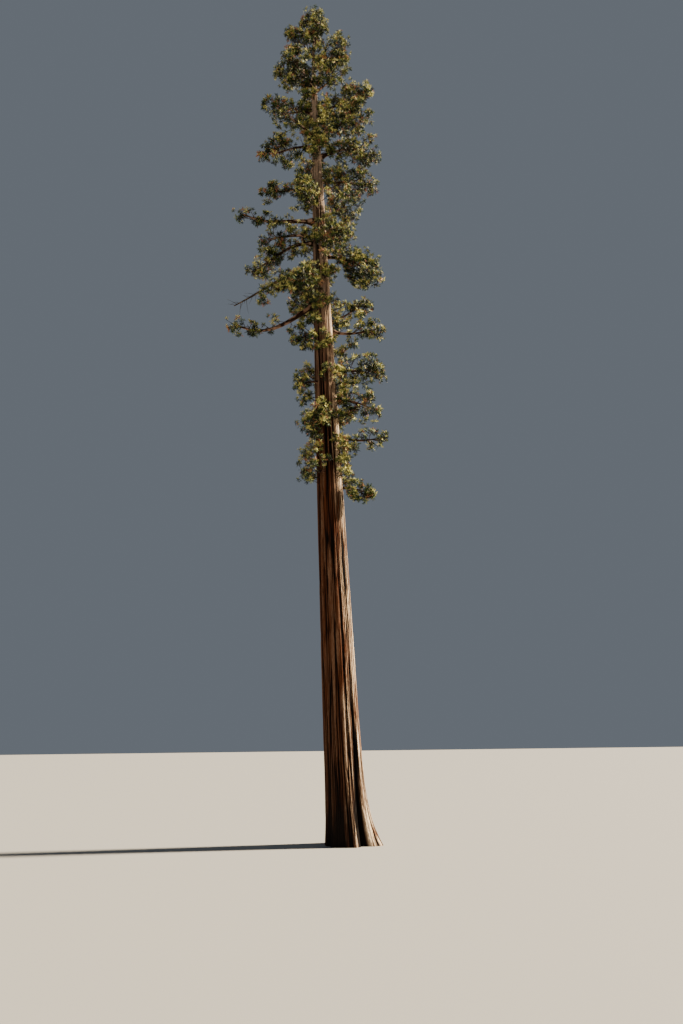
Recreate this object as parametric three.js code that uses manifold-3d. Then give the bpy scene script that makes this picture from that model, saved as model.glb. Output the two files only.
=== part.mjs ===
// A giant sequoia with its roots in the ground, as a scene graph of closed solids.
// Units are millimetres, +Z is up, and the origin is where the trunk's axis meets the level ground.
// +X is the side where the trunk flares most, and -Y is the side that the tree is usually seen from.
// The real tree is about 60 m tall. It is modelled evenly scaled to 40 m.

import * as THREE from "three";
import { mergeVertices } from "three/addons/utils/BufferGeometryUtils.js";
import Module from "manifold-3d";

const wasm = await Module();
wasm.setup();

// Driving dimensions of the trunk
const TRUNK_TIP_HEIGHT = 37600;
const TREE_HEIGHT = 40000; // nothing reaches above this, and the shaft's taper would come to a point here
const TAPER_POWER = 1.45; // above 1, so the shaft keeps its girth low down and thins faster near the tip
const SHAFT_RADIUS = 690;
const SWELL_RADIUS = 60; // slow swelling of the lowest third
const SWELL_HEIGHT = 5000;
const FLARE_HEIGHT = 1100; // the root flare dies away over this height
const LEAN = 0.0325; // sideways millimetres towards -X for each millimetre up
const BOW = 80; // how far the axis bows towards -X at half height
const SWEEP = 90; // how far the axis sweeps to and fro in Y
const SWEEP_BENDS = 1.5; // bends of the sweep from the foot to the tip
const TRUNK_SIDES = 24;
const TRUNK_RINGS = 17;
const RING_CROWDING = 1.9; // above 1, so the rings crowd together in the flare

// Root buttresses: the bearing of each, how far it stands out at the ground, and its width in degrees
const BUTTRESSES = [
  { bearing: -14, out: 640, width: 26 },
  { bearing: -72, out: 270, width: 22 },
  { bearing: 48, out: 300, width: 24 },
  { bearing: 112, out: 240, width: 24 },
  { bearing: 172, out: 90, width: 30 },
  { bearing: 238, out: 150, width: 26 },
];

// Clearances
const SEAT_GAP = 0.3; // a limb ends this far from what carries it
const MERGE_WITHIN = 1e-4; // corners this close are one
const LIMB_CLEARANCE = 25; // foliage keeps this far from every limb
const SPACE_MARGIN = 0.03; // foliage keeps this share of its mass's width from its neighbour's space

// Limbs
const LIMB_GIRTH = 0.028; // radius at the foot, as a share of the reach
const LEAST_FOOT_RADIUS = 42;
const LIMB_TAPER = 0.78; // share of the foot's radius that is gone at the limb's tip
const BOUGH_SIDES = 6;
const BOUGH_STEP = 400;
const SWAY = 0.035; // sideways swing of a limb, as a share of its reach
const SLOPE_STEP = 1e-3; // how far apart along a centre line the points are that give its direction

// Foliage
const STEM_SIDES = 4;
const STEM_STEP = 520;
const TWIG_SPACING = 290; // along the stem
const TWIG_LENGTH = 0.5; // as a share of the mass's width
const FIRST_TWIG = 0.16; // foliage straight from the trunk starts this far along its limb
const TWIG_LEAN = 52; // degrees between a twig and the stem that it leaves
const TWIG_VARIETY = 0.2; // a twig is up to this share longer or shorter
const TWIG_RADIUS = 26;
const TWIG_TESTS = [0.6, 1]; // shares of a twig's length at which it is tested for room
const GOLDEN_ANGLE = 137.5; // turn round the stem from one twig to the next, in degrees
const ROLL_VARIETY = 90; // a twig's turn is up to this many degrees more
const SPRAY_LENGTH = 1.14; // as a share of the mass's width
const SPRAY_VARIETY = 0.15;
const SPRAY_WIDTH = 0.58; // half width, as a share of the spray's length
const SPRAY_THICKNESS = 0.1; // half thickness, as a share of the spray's length
const TRIES = 5; // ways in which a twig or spray is tried before it is left out
const SHORTENING = 0.92; // of a spray from one try to the next
const LAST_SPRAY = 0.8; // the stem stops this share of the mass's width short of the furthest tip
const STEM_SINK = 0.02; // the last spray's root is this share of the limb inside the stem
const NARROWEST = 0.6; // a mass's width at the foot of its stem, as a share of its full width
// Where each spray leaves its twig, and the degrees that it turns off it
const TWIG_SPRAYS = [
  { from: 0.75, turn: 0 },
  { from: 0.5, turn: 58 },
  { from: 0.3, turn: -64 },
];

const boughOf = ([name, foot, bearing, reach, lift, arch, width, bare]) => {
  return { name, foot, bearing, reach, lift, arch, width, bare };
};
// Every bough with foliage: its name, its foot's height on the trunk, its bearing (0 is +X, 90 is +Y), its
// reach from the trunk's axis, the rise from foot to tip, the rise of its middle over the straight line, the
// half width of the foliage round it, and the share of it that is bare. With bare 0 it is foliage straight
// from the trunk.
const BOUGHS = [
  ["left_01", 37150, 190, 1200, 1500, 60, 850, 0],
  ["left_02", 35500, 160, 2000, 1550, 90, 900, 0],
  ["left_03", 32100, 205, 2800, 1800, -120, 850, 0.36],
  ["left_04", 33600, 160, 2300, 800, 100, 850, 0.3],
  ["left_05", 31600, 180, 2750, -400, 120, 950, 0.32],
  ["left_06", 28900, 195, 2850, -450, 200, 600, 0.3],
  ["left_07", 27350, 183, 4000, 600, -300, 550, 0.38],
  ["left_08", 26350, 200, 3050, -700, 250, 750, 0.34],
  ["left_09", 26200, 160, 3750, -750, 420, 750, 0.38],
  ["left_10", 23250, 184, 4400, -1150, -980, 500, 0.5],
  ["left_11", 21700, 196, 1400, -800, 100, 700, 0],
  ["left_12", 19000, 214, 1500, -300, 60, 950, 0],
  ["right_01", 36400, 8, 1700, 2000, -120, 800, 0.3],
  ["right_02", 34950, -26, 1850, 700, 60, 950, 0],
  ["right_03", 33900, 20, 2800, 1900, -150, 950, 0.3],
  ["right_04", 32300, -28, 3000, -150, 150, 950, 0],
  ["right_05", 31000, 2, 3050, -100, 650, 950, 0.3],
  ["right_06", 29700, 28, 3100, 550, 200, 1100, 0],
  ["right_07", 27600, -30, 2350, -250, 140, 1050, 0],
  ["right_08", 25550, -4, 2750, -1600, 420, 950, 0.36],
  ["right_09", 22050, 30, 2400, 1850, -220, 650, 0.6],
  ["right_10", 21750, -3, 2750, -150, -240, 650, 0.44],
  ["right_11", 19750, 16, 2750, -200, 150, 1000, 0.28],
  ["right_12", 18300, -14, 2400, -1000, 180, 850, 0.3],
  ["right_13", 16850, 3, 2600, -350, -360, 650, 0.5],
  ["right_14", 14150, -8, 1900, -500, 150, 600, 0.36],
  ["front_01", 35050, 225, 1900, 1100, 80, 950, 0],
  ["front_02", 27900, 245, 2000, 0, 160, 950, 0],
  ["front_03", 25900, 300, 2200, -300, 200, 1050, 0],
  ["front_04", 22950, 240, 2600, 200, 120, 1050, 0.26],
  ["front_05", 17000, 246, 1750, -400, 40, 1000, 0],
  ["front_06", 14750, 240, 1700, -300, 60, 1000, 0],
  ["back_01", 34550, 96, 2200, 1250, 60, 1000, 0],
  ["back_02", 30600, 105, 2500, 450, 160, 1000, 0],
  ["back_03", 27350, 60, 2800, -150, 200, 1050, 0.3],
  ["back_04", 24200, 112, 2800, -300, 200, 1050, 0.34],
].map(boughOf);
// The top of the tree, where the last shoot goes on from just inside the trunk's tip
const LEADER_SINK = 100;
const LEADER = {
  name: "leader",
  foot: TRUNK_TIP_HEIGHT - LEADER_SINK,
  bearing: 0,
  reach: 120,
  lift: 2480,
  arch: 0,
  width: 900,
  bare: 0,
};
// A limb that has lost its leaves
const DEAD_LIMB = { name: "dead_limb", foot: 25000, bearing: 193, reach: 3950, lift: -2600, arch: 250 };

const radians = THREE.MathUtils.degToRad;
const UP = new THREE.Vector3(0, 0, 1);
const NEARLY_UPRIGHT = 0.9; // cosine of the angle to the vertical

// Mulberry32: the same stream of numbers from 0 to 1 for the same seed, on any machine.
function stream(seed) {
  let state = seed;
  return () => {
    state = (state + 0x6d2b79f5) | 0;
    let t = Math.imul(state ^ (state >>> 15), 1 | state);
    t = (t + Math.imul(t ^ (t >>> 7), 61 | t)) ^ t;
    return ((t ^ (t >>> 14)) >>> 0) / 4294967296;
  };
}

// A factor up to a share above or below 1
const vary = (chance, share) => 1 + share * (2 * chance() - 1);

// A closed geometry as a solid that can be joined and cut.
function solidOf(geometry) {
  const bare = geometry.clone();
  bare.deleteAttribute("normal");
  bare.deleteAttribute("uv");
  const merged = mergeVertices(bare, MERGE_WITHIN);
  return new wasm.Manifold(
    new wasm.Mesh({
      numProp: 3,
      vertProperties: merged.attributes.position.array,
      triVerts: new Uint32Array(merged.index.array),
    }),
  );
}

// The largest body of a solid as a named mesh.
function meshOf(name, solid, material) {
  const bodies = solid.decompose().sort((a, b) => b.volume() - a.volume());
  const made = bodies[0].getMesh();
  const geometry = new THREE.BufferGeometry();
  geometry.setAttribute("position", new THREE.BufferAttribute(made.vertProperties, 3));
  geometry.setIndex(new THREE.BufferAttribute(made.triVerts, 1));
  geometry.computeVertexNormals();
  const mesh = new THREE.Mesh(geometry, material);
  mesh.name = name;
  return mesh;
}

// The trunk's axis leans steadily to one side, bowing a little, and sweeps to and fro across that.
function trunkAxis(height) {
  const turn = (height / TRUNK_TIP_HEIGHT) * Math.PI;
  const across = -LEAN * height - BOW * Math.sin(turn);
  return new THREE.Vector3(across, SWEEP * Math.sin(SWEEP_BENDS * turn), height);
}

function shaftRadius(height) {
  const shaft = SHAFT_RADIUS * (1 - Math.pow(height / TREE_HEIGHT, TAPER_POWER));
  return shaft + SWELL_RADIUS * Math.exp(-height / SWELL_HEIGHT);
}

// The shaft with its buttresses, each a smooth hump round its bearing that dies away with height.
function trunkRadius(height, bearing) {
  const fade = Math.exp(-height / FLARE_HEIGHT);
  return BUTTRESSES.reduce((radius, b) => {
    const off = ((bearing - b.bearing + 540) % 360) - 180;
    return radius + b.out * fade * Math.exp(-((off / b.width) ** 2));
  }, shaftRadius(height));
}

// A unit cylinder whose rings are moved onto the trunk's axis and outline, grown by a gap.
function trunkGeometry(gap) {
  const geometry = new THREE.CylinderGeometry(1, 1, 1, TRUNK_SIDES, TRUNK_RINGS);
  const place = geometry.attributes.position;
  const grow = gap / Math.cos(Math.PI / TRUNK_SIDES);
  for (let i = 0; i < place.count; i++) {
    const [x, y, z] = [place.getX(i), place.getY(i), place.getZ(i)];
    const height = (TRUNK_TIP_HEIGHT + gap) * Math.pow(y + 0.5, RING_CROWDING);
    const bearing = THREE.MathUtils.radToDeg(Math.atan2(-z, x));
    const spread = Math.hypot(x, z) * (trunkRadius(height, bearing) + grow);
    const axis = trunkAxis(height);
    place.setXYZ(
      i,
      axis.x + spread * Math.cos(radians(bearing)),
      axis.y + spread * Math.sin(radians(bearing)),
      height,
    );
  }
  return geometry;
}

// A limb's centre line: out from the trunk's axis, rising to its lift, arching or sagging between, and
// swaying.
function limbPoint(limb, u) {
  const bearing = radians(limb.bearing);
  const out = new THREE.Vector3(Math.cos(bearing), Math.sin(bearing), 0);
  const side = new THREE.Vector3(-out.y, out.x, 0);
  return trunkAxis(limb.foot)
    .addScaledVector(out, limb.reach * u)
    .addScaledVector(side, limb.reach * SWAY * Math.sin(2 * Math.PI * u))
    .addScaledVector(UP, limb.lift * u + limb.arch * Math.sin(Math.PI * u));
}

// How fast and which way the centre line runs on as u grows
function slope(limb, u) {
  const ahead = limbPoint(limb, u + SLOPE_STEP);
  return ahead.sub(limbPoint(limb, u - SLOPE_STEP)).divideScalar(2 * SLOPE_STEP);
}

function limbRadius(limb, u) {
  const foot = Math.max(LEAST_FOOT_RADIUS, limb.reach * LIMB_GIRTH);
  return foot * (1 - LIMB_TAPER * u);
}

// A direction square to ahead. It lies level, unless the way as a whole is nearly upright.
function sideOf(ahead, whole) {
  const reference = Math.abs(whole.z) > NEARLY_UPRIGHT ? new THREE.Vector3(1, 0, 0) : UP;
  return new THREE.Vector3().crossVectors(ahead, reference).normalize();
}

// A unit cylinder or cone bent along a centre line. at(t) and radius(t) take t from 0 at the foot to 1.
function bentAlong(unit, at, radius) {
  const place = unit.attributes.position;
  const whole = at(1).sub(at(0)).normalize();
  for (let i = 0; i < place.count; i++) {
    const [x, y, z] = [place.getX(i), place.getY(i), place.getZ(i)];
    const t = y + 0.5;
    const before = at(Math.max(0, t - SLOPE_STEP));
    const ahead = at(Math.min(1, t + SLOPE_STEP)).sub(before).normalize();
    const side = sideOf(ahead, whole);
    const over = new THREE.Vector3().crossVectors(side, ahead);
    const point = at(t)
      .addScaledVector(side, x * radius(t))
      .addScaledVector(over, z * radius(t));
    place.setXYZ(i, point.x, point.y, point.z);
  }
  return unit;
}

// The stretch of a limb from u0 to u1 as a closed solid.
function limbSolid(limb, u0, u1, sides, steps) {
  const along = (t) => u0 + (u1 - u0) * t;
  return solidOf(
    bentAlong(
      new THREE.CylinderGeometry(1, 1, 1, sides, steps),
      (t) => limbPoint(limb, along(t)),
      (t) => limbRadius(limb, along(t)),
    ),
  );
}

// The centre line's points that the tests of clearance and space measure from
const SPINE_STEPS = 24;

function spineOf(limb, u0, u1) {
  return Array.from({ length: SPINE_STEPS + 1 }, (_, i) => {
    const u = u0 + ((u1 - u0) * i) / SPINE_STEPS;
    return { point: limbPoint(limb, u), radius: limbRadius(limb, u) };
  });
}

// A mass of foliage on the outer part of a limb. Its stem stops short of the furthest tip, which its last
// spray reaches, and its space is narrower towards the trunk.
const masses = [LEADER, ...BOUGHS].map((limb, seed) => {
  const length = limbPoint(limb, 1).distanceTo(limbPoint(limb, limb.bare)) / (1 - limb.bare);
  const end = 1 - (LAST_SPRAY * limb.width) / length;
  const spine = spineOf(limb, limb.bare, end).map((s, i) => ({
    point: s.point,
    reach: limb.width * (NARROWEST + (1 - NARROWEST) * Math.sqrt(i / SPINE_STEPS)),
  }));
  return { ...limb, seed, length, end, spine };
});
const boughs = [...BOUGHS.filter((limb) => limb.bare > 0), { ...DEAD_LIMB, bare: 1 }];
const boughSpines = boughs.map((limb) => spineOf(limb, 0, limb.bare));

// Distance of a point from a mass's stem as a share of the mass's width there: its space ends at 1.
function shareOfSpace(mass, point) {
  return Math.min(...mass.spine.map((s) => s.point.distanceTo(point) / s.reach));
}

function clearOfLimbs(point) {
  const axis = trunkAxis(Math.min(point.z, TRUNK_TIP_HEIGHT));
  if (point.distanceTo(axis) < shaftRadius(axis.z) + LIMB_CLEARANCE) return false;
  return boughSpines.every((spine) =>
    spine.every((s) => s.point.distanceTo(point) > s.radius + LIMB_CLEARANCE),
  );
}

// True where every point lies in the mass's own space and clear of every limb.
function fits(mass, points) {
  return points.every((point) => {
    const share = shareOfSpace(mass, point);
    return (
      share < 1 &&
      point.z <= TREE_HEIGHT &&
      clearOfLimbs(point) &&
      masses.every((other) => other === mass || shareOfSpace(other, point) > share + SPACE_MARGIN)
    );
  });
}

// A spray's outline seen flat, as shares of its length: two side teeth and a tip, with a notch between each.
const TEETH = [
  [0, 0],
  [0.74, 1],
  [0.6, 0.4],
  [1, 0],
  [0.6, -0.4],
  [0.74, -1],
];
const SPRAY_MIDDLE = 0.42;

// A toothed blade: its outline is joined to a point over its middle and one under it.
function sprayGeometry(root, ahead, face, length) {
  const side = new THREE.Vector3().crossVectors(face, ahead);
  const at = (along, across, up) =>
    root
      .clone()
      .addScaledVector(ahead, along * length)
      .addScaledVector(side, across * SPRAY_WIDTH * length)
      .addScaledVector(face, up * SPRAY_THICKNESS * length);
  const points = TEETH.map(([along, across]) => at(along, across, 0));
  const between = points.map((point, i) => point.clone().lerp(points[(i + 1) % points.length], 0.5));
  const apexes = [at(SPRAY_MIDDLE, 0, 1), at(SPRAY_MIDDLE, 0, -1)];
  const faces = TEETH.flatMap((_, i) => {
    const next = (i + 1) % TEETH.length;
    return [i, TEETH.length, next, next, TEETH.length + 1, i];
  });
  const geometry = new THREE.BufferGeometry().setFromPoints([...points, ...apexes]);
  geometry.setIndex(faces);
  return { geometry, points: [...points, ...between, at(SPRAY_MIDDLE, 0, 0)] };
}

// A direction turned from ahead towards the side that roll points to.
function leaned(ahead, lean, roll) {
  const side = sideOf(ahead, ahead);
  const over = new THREE.Vector3().crossVectors(side, ahead);
  return ahead
    .clone()
    .multiplyScalar(Math.cos(lean))
    .addScaledVector(side, Math.sin(lean) * Math.cos(roll))
    .addScaledVector(over, Math.sin(lean) * Math.sin(roll))
    .normalize();
}

// A spray that is rooted in a twig or stem. It is turned about its length, and shortened a little each time,
// until it keeps to the mass's space and clear of the limbs, and is left out if it never does.
function sprayAt(mass, root, ahead, length, chance) {
  for (let k = 0; k < TRIES; k++) {
    const face = leaned(ahead, Math.PI / 2, 2 * Math.PI * chance());
    const { geometry, points } = sprayGeometry(root, ahead, face, length * SHORTENING ** k);
    if (fits(mass, points)) return [solidOf(geometry)];
  }
  return [];
}

// One twig: it leaves the stem at u, leans forward, and bears a spray at its end and two on its sides.
function twigAt(mass, u, roll, chance) {
  const foot = limbPoint(mass, u);
  const direction = leaned(slope(mass, u).normalize(), radians(TWIG_LEAN), roll);
  const length = mass.width * TWIG_LENGTH * vary(chance, TWIG_VARIETY);
  const at = (t) => foot.clone().addScaledVector(direction, length * t);
  if (!fits(mass, TWIG_TESTS.map(at))) return [];
  const across = leaned(direction, Math.PI / 2, 2 * Math.PI * chance());
  const parts = [solidOf(bentAlong(new THREE.ConeGeometry(1, 1, 3, 1), at, () => TWIG_RADIUS))];
  for (const { from, turn } of TWIG_SPRAYS) {
    const ahead = direction.clone().applyAxisAngle(across, radians(turn));
    const size = mass.width * SPRAY_LENGTH * vary(chance, SPRAY_VARIETY);
    parts.push(...sprayAt(mass, at(from), ahead, size, chance));
  }
  return parts;
}

// A mass of foliage: its stem, which goes on from the bough's tip or the trunk, with twigs wound round it.
function foliageSolid(mass) {
  const chance = stream(mass.seed + 1);
  const start = mass.bare > 0 ? mass.bare + SEAT_GAP / slope(mass, mass.bare).length() : 0;
  const steps = Math.max(2, Math.round(((mass.end - start) * mass.length) / STEM_STEP));
  const parts = [limbSolid(mass, start, mass.end, STEM_SIDES, steps)];
  const first = Math.max(mass.bare, FIRST_TWIG);
  const twigs = Math.max(2, Math.round(((mass.end - first) * mass.length) / TWIG_SPACING));
  for (let k = 0; k < twigs; k++) {
    const u = first + ((mass.end - first) * (k + 0.5)) / twigs;
    let twig = [];
    for (let turn = 0; turn < TRIES && twig.length < 2; turn++) {
      twig = twigAt(mass, u, radians((k + turn) * GOLDEN_ANGLE + ROLL_VARIETY * chance()), chance);
    }
    parts.push(...twig);
  }
  const root = limbPoint(mass, mass.end - STEM_SINK);
  const last = limbPoint(mass, 1).sub(root);
  parts.push(...sprayAt(mass, root, last.clone().normalize(), last.length(), chance));
  return wasm.Manifold.union(parts);
}

const barkRed = new THREE.MeshStandardMaterial({ color: 0x7a4a32, roughness: 0.95, metalness: 0 });
const deadWood = new THREE.MeshStandardMaterial({ color: 0x8d8177, roughness: 0.9, metalness: 0 });
const needleGreen = new THREE.MeshStandardMaterial({ color: 0x5a6b2c, roughness: 0.8, metalness: 0 });

const tree = new THREE.Group();
tree.add(meshOf("trunk", solidOf(trunkGeometry(0)), barkRed));
const seat = solidOf(trunkGeometry(SEAT_GAP));
for (const limb of boughs) {
  const steps = Math.max(2, Math.round((limb.bare * limb.reach) / BOUGH_STEP));
  const bough = limbSolid(limb, 0, limb.bare, BOUGH_SIDES, steps).subtract(seat);
  const dead = limb.name === DEAD_LIMB.name;
  tree.add(meshOf(dead ? limb.name : `bough_${limb.name}`, bough, dead ? deadWood : barkRed));
}
for (const mass of masses) {
  tree.add(meshOf(`foliage_${mass.name}`, foliageSolid(mass).subtract(seat), needleGreen));
}

export default tree;
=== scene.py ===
# %% [markdown]
# # A giant sequoia in Blender
# This lesson dresses a plain CAD tree as a living one. The CAD model gives the trunk, the boughs and the
# space of every mass of foliage. Here the same rule of growth is written again and carried further, to
# furrowed bark, fine twigs and tufts of scaly sprigs. Units are metres, +Z is up, and the origin is where
# the trunk meets the ground. The real tree is about 60 m tall and is modelled evenly scaled to 40 m.

from collections import namedtuple

import bpy
import numpy as np
from mathutils import Matrix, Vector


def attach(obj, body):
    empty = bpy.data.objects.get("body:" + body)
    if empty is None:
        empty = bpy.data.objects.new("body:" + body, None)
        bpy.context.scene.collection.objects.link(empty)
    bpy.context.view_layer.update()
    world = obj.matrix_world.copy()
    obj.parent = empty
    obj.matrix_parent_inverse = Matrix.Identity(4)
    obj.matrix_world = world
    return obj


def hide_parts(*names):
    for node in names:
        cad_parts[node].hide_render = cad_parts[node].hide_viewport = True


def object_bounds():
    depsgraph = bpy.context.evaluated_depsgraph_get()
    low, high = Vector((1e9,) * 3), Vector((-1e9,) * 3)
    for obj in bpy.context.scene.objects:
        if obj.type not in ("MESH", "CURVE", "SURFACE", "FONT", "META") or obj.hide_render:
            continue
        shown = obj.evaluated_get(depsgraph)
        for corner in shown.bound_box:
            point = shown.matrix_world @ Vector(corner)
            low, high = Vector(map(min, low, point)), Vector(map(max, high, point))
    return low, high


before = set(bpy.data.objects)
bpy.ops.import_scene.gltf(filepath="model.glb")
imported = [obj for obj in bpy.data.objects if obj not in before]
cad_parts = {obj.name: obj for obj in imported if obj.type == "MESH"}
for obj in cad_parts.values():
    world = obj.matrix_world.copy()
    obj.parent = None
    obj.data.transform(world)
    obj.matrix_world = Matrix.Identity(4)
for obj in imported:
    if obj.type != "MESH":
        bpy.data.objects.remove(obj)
cad_box = [list(corner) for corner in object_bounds()]
print("CAD box", cad_box)

# %% [markdown]
# ## Camera
# A tall tree is photographed from a little way off, with a wide lens tilted up, so its trunk seems to
# shrink towards the top. A camera object can be turned by Euler angles or by a matrix. A matrix is used
# here, because the small roll has to come first, about the camera's own line of sight.

# %% Camera at the photograph's viewing angle
EYE = (-0.05, -31.88, 3.46)
TILT_UP, ROLL = 16.7, 0.69
LENS = 27.72  # millimetres, on a picture whose long side is taken as 36 mm


def placed(name, data):
    """An object with that data, linked into the scene."""
    made = bpy.data.objects.new(name, data)
    bpy.context.scene.collection.objects.link(made)
    return made


camera = placed("camera", bpy.data.cameras.new("camera"))
camera.data.lens = LENS
camera.data.clip_end = 2000
upright = Matrix.Rotation(np.radians(90 + TILT_UP), 4, "X")
camera.matrix_world = Matrix.Translation(EYE) @ upright @ Matrix.Rotation(np.radians(-ROLL), 4, "Z")
bpy.context.scene.camera = camera
print("camera", EYE, "tilted up by", TILT_UP, "degrees")

# %% [markdown]
# ## Helpers for materials
# A material is a small graph of nodes. One function adds a node, sets its sockets and links it, and one
# turns an sRGB hex value, as a colour picker gives it, into the linear numbers that a shader wants.


# %% Colours and nodes
def linear(hex_colour):
    """sRGB to linear: c / 12.92 below 0.04045, and ((c + 0.055) / 1.055) to the power 2.4 above it."""
    parts = np.array([int(hex_colour[i : i + 2], 16) / 255 for i in (1, 3, 5)])
    bright = ((parts + 0.055) / 1.055) ** 2.4
    return (*np.where(parts <= 0.04045, parts / 12.92, bright), 1.0)


def add_node(graph, kind, settings=None, sockets=None):
    """Adds a node of that kind. settings are its properties. A socket takes a plain value or a link."""
    node = graph.nodes.new(kind)
    for key, value in (settings or {}).items():
        setattr(node, key, value)
    for key, value in (sockets or {}).items():
        if isinstance(value, bpy.types.NodeSocket):
            graph.links.new(value, node.inputs[key])
        else:
            node.inputs[key].default_value = value
    return node


def new_material(name, sockets):
    """A material whose Principled shader has those values: the material, its graph and the shader."""
    material = bpy.data.materials.new(name)
    material.use_nodes = True
    shader = material.node_tree.nodes["Principled BSDF"]
    for key, value in sockets.items():
        shader.inputs[key].default_value = value
    return material, material.node_tree, shader


# %% [markdown]
# ## Floor and light
# A plain pale floor and soft light from the right, as a low sun behind thin cloud would give it. A lamp
# of the kind sun lights the foot and the top of a 40 m tree alike, which a near area lamp would not. Its
# angle is how wide the sun looks from the tree: the wider it is, the softer the shadows.

# %% Floor
FLOOR_SIZE = 2400
matt = {"Base Color": linear("#8f8d89"), "Roughness": 0.9}
paint, *_ = new_material("Pale studio floor, matt paint", matt)
bpy.ops.mesh.primitive_plane_add(size=FLOOR_SIZE, location=(0, 0, 0))
floor = bpy.context.object
floor.name = "floor"
floor.data.materials.append(paint)

# %% Lights
LIGHTS = [
    # name, strength, angle of the source, colour, degrees up, bearing that it shines from
    ("key", 25, 5, "#ffeed2", 33, 9),
    ("fill", 0.15, 80, "#e4ebf5", 30, 235),
]
for name, strength, angle, colour, up, bearing in LIGHTS:
    lamp = bpy.data.lights.new(name, "SUN")
    lamp.energy = strength
    lamp.angle = np.radians(angle)
    lamp.color = linear(colour)[:3]
    aimed = Matrix.Rotation(np.radians(90 - up), 4, "X")
    placed(name, lamp).matrix_world = Matrix.Rotation(np.radians(bearing + 90), 4, "Z") @ aimed
world = bpy.data.worlds.new("studio")
bpy.context.scene.world = world
world.use_nodes = True
sky = world.node_tree.nodes["Background"]
sky.inputs["Color"].default_value = linear("#cfdcec")
sky.inputs["Strength"].default_value = 0.21
print("lights", [row[0] for row in LIGHTS])


# %% [markdown]
# ## A mesh from arrays
# Everything that grows here is worked out as numpy arrays: one array of points and one of triangles.
# foreach_set copies such arrays into Blender in one go, which a loop over vertices could never do in time.


# %% From arrays to an object
def piece(name, points, triangles, materials, slot, replaced, dealt=None, flat=0, **attributes):
    """A mesh object of those points and triangles. dealt gives each triangle the number of its material,
    the last flat triangles aren't shaded smooth, and every further array is stored at the points."""
    mesh = bpy.data.meshes.new(name)
    mesh.vertices.add(len(points))
    mesh.vertices.foreach_set("co", np.ascontiguousarray(points, "float32").ravel())
    mesh.loops.add(triangles.size)
    mesh.loops.foreach_set("vertex_index", np.ascontiguousarray(triangles, "int32").ravel())
    mesh.polygons.add(len(triangles))
    mesh.polygons.foreach_set("loop_start", np.arange(0, triangles.size, 3, dtype="int32"))
    if dealt is not None:
        mesh.polygons.foreach_set("material_index", np.ascontiguousarray(dealt, "int32"))
    mesh.polygons.foreach_set("use_smooth", np.arange(len(triangles)) < len(triangles) - flat)
    mesh.update(calc_edges=True)
    for key, values in attributes.items():
        stored = mesh.attributes.new(key, "FLOAT", "POINT")
        stored.data.foreach_set("value", np.ascontiguousarray(values, "float32").ravel())
    for material in materials:
        mesh.materials.append(material)
    made = placed(name, mesh)
    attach(made, "root")
    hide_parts(*replaced)
    print(name, len(triangles), "triangles")


def wall_faces(rings, sides):
    """The triangles between each ring of points and the next. The points are numbered ring by ring."""
    ring, side = np.meshgrid(np.arange(rings - 1), np.arange(sides), indexing="ij")
    a = ring * sides + side
    b = ring * sides + (side + 1) % sides
    wall = np.concatenate([np.stack([a, b, b + sides], -1), np.stack([a, b + sides, a + sides], -1)])
    return wall.reshape(-1, 3)


def fan(first, sides, centre):
    """The triangles from a ring of points, numbered from first, to a centre."""
    turn = np.arange(sides)
    return np.stack([first + turn, first + (turn + 1) % sides, np.full(sides, centre)], -1)


def tube_faces(rings, sides):
    """The triangles of a closed tube. Two points come after the rings, one for each end to close on."""
    count = rings * sides
    foot = fan(0, sides, count)[:, ::-1]
    return np.concatenate([wall_faces(rings, sides), foot, fan(count - sides, sides, count + 1)])


# %% [markdown]
# ## The trunk
# A giant sequoia's trunk is a tall tapering column that swells slowly towards the foot and then flares
# into buttresses. It could be a turned profile, but the buttresses need a radius that also depends on the
# bearing, so the surface is a function of height and bearing, on a grid.

# %% The trunk's axis and outline, as in the CAD source
TIP_HEIGHT = 37.6
TREE_HEIGHT = 40.0
TAPER_POWER = 1.45
SHAFT_RADIUS = 0.69
SWELL_RADIUS, SWELL_HEIGHT = 0.06, 5.0
FLARE_HEIGHT = 1.1
LEAN, BOW, SWEEP, SWEEP_BENDS = 0.0325, 0.08, 0.09, 1.5
# Each buttress: its bearing, how far it stands out at the ground, and its width in degrees
BUTTRESSES = [
    (-14, 0.64, 26), (-72, 0.27, 22), (48, 0.3, 24), (112, 0.24, 24), (172, 0.09, 30), (238, 0.15, 26),
]


def trunk_axis(height):
    """The axis leans steadily to -X, bows a little that way, and sweeps to and fro in Y by a sine."""
    height = np.asarray(height, float)
    turn = height / TIP_HEIGHT * np.pi
    across = -LEAN * height - BOW * np.sin(turn)
    return np.stack([across, SWEEP * np.sin(SWEEP_BENDS * turn), height], -1)


def shaft_radius(height):
    """The full radius times 1 - (height / tree height) to a power, plus a swelling that dies away."""
    height = np.asarray(height, float)
    taper = 1 - (height / TREE_HEIGHT) ** TAPER_POWER
    return SHAFT_RADIUS * taper + SWELL_RADIUS * np.exp(-height / SWELL_HEIGHT)


def outward(turn):
    """The level direction at each bearing, in radians."""
    return np.stack([np.cos(turn), np.sin(turn), 0 * turn], -1)


def off_bearing(bearing, centre):
    """Degrees from a centre bearing, from -180 to 180."""
    return (bearing - centre + 540) % 360 - 180


def trunk_radius(height, bearing):
    """The shaft plus a bell-shaped hump for each buttress, which dies away with height."""
    radius = shaft_radius(height)
    for centre, out, width in BUTTRESSES:
        hump = np.exp(-((off_bearing(bearing, centre) / width) ** 2))
        radius = radius + out * np.exp(-height / FLARE_HEIGHT) * hump
    return radius


print("radius above the flare", round(float(shaft_radius(3)), 3), "m")


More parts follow.
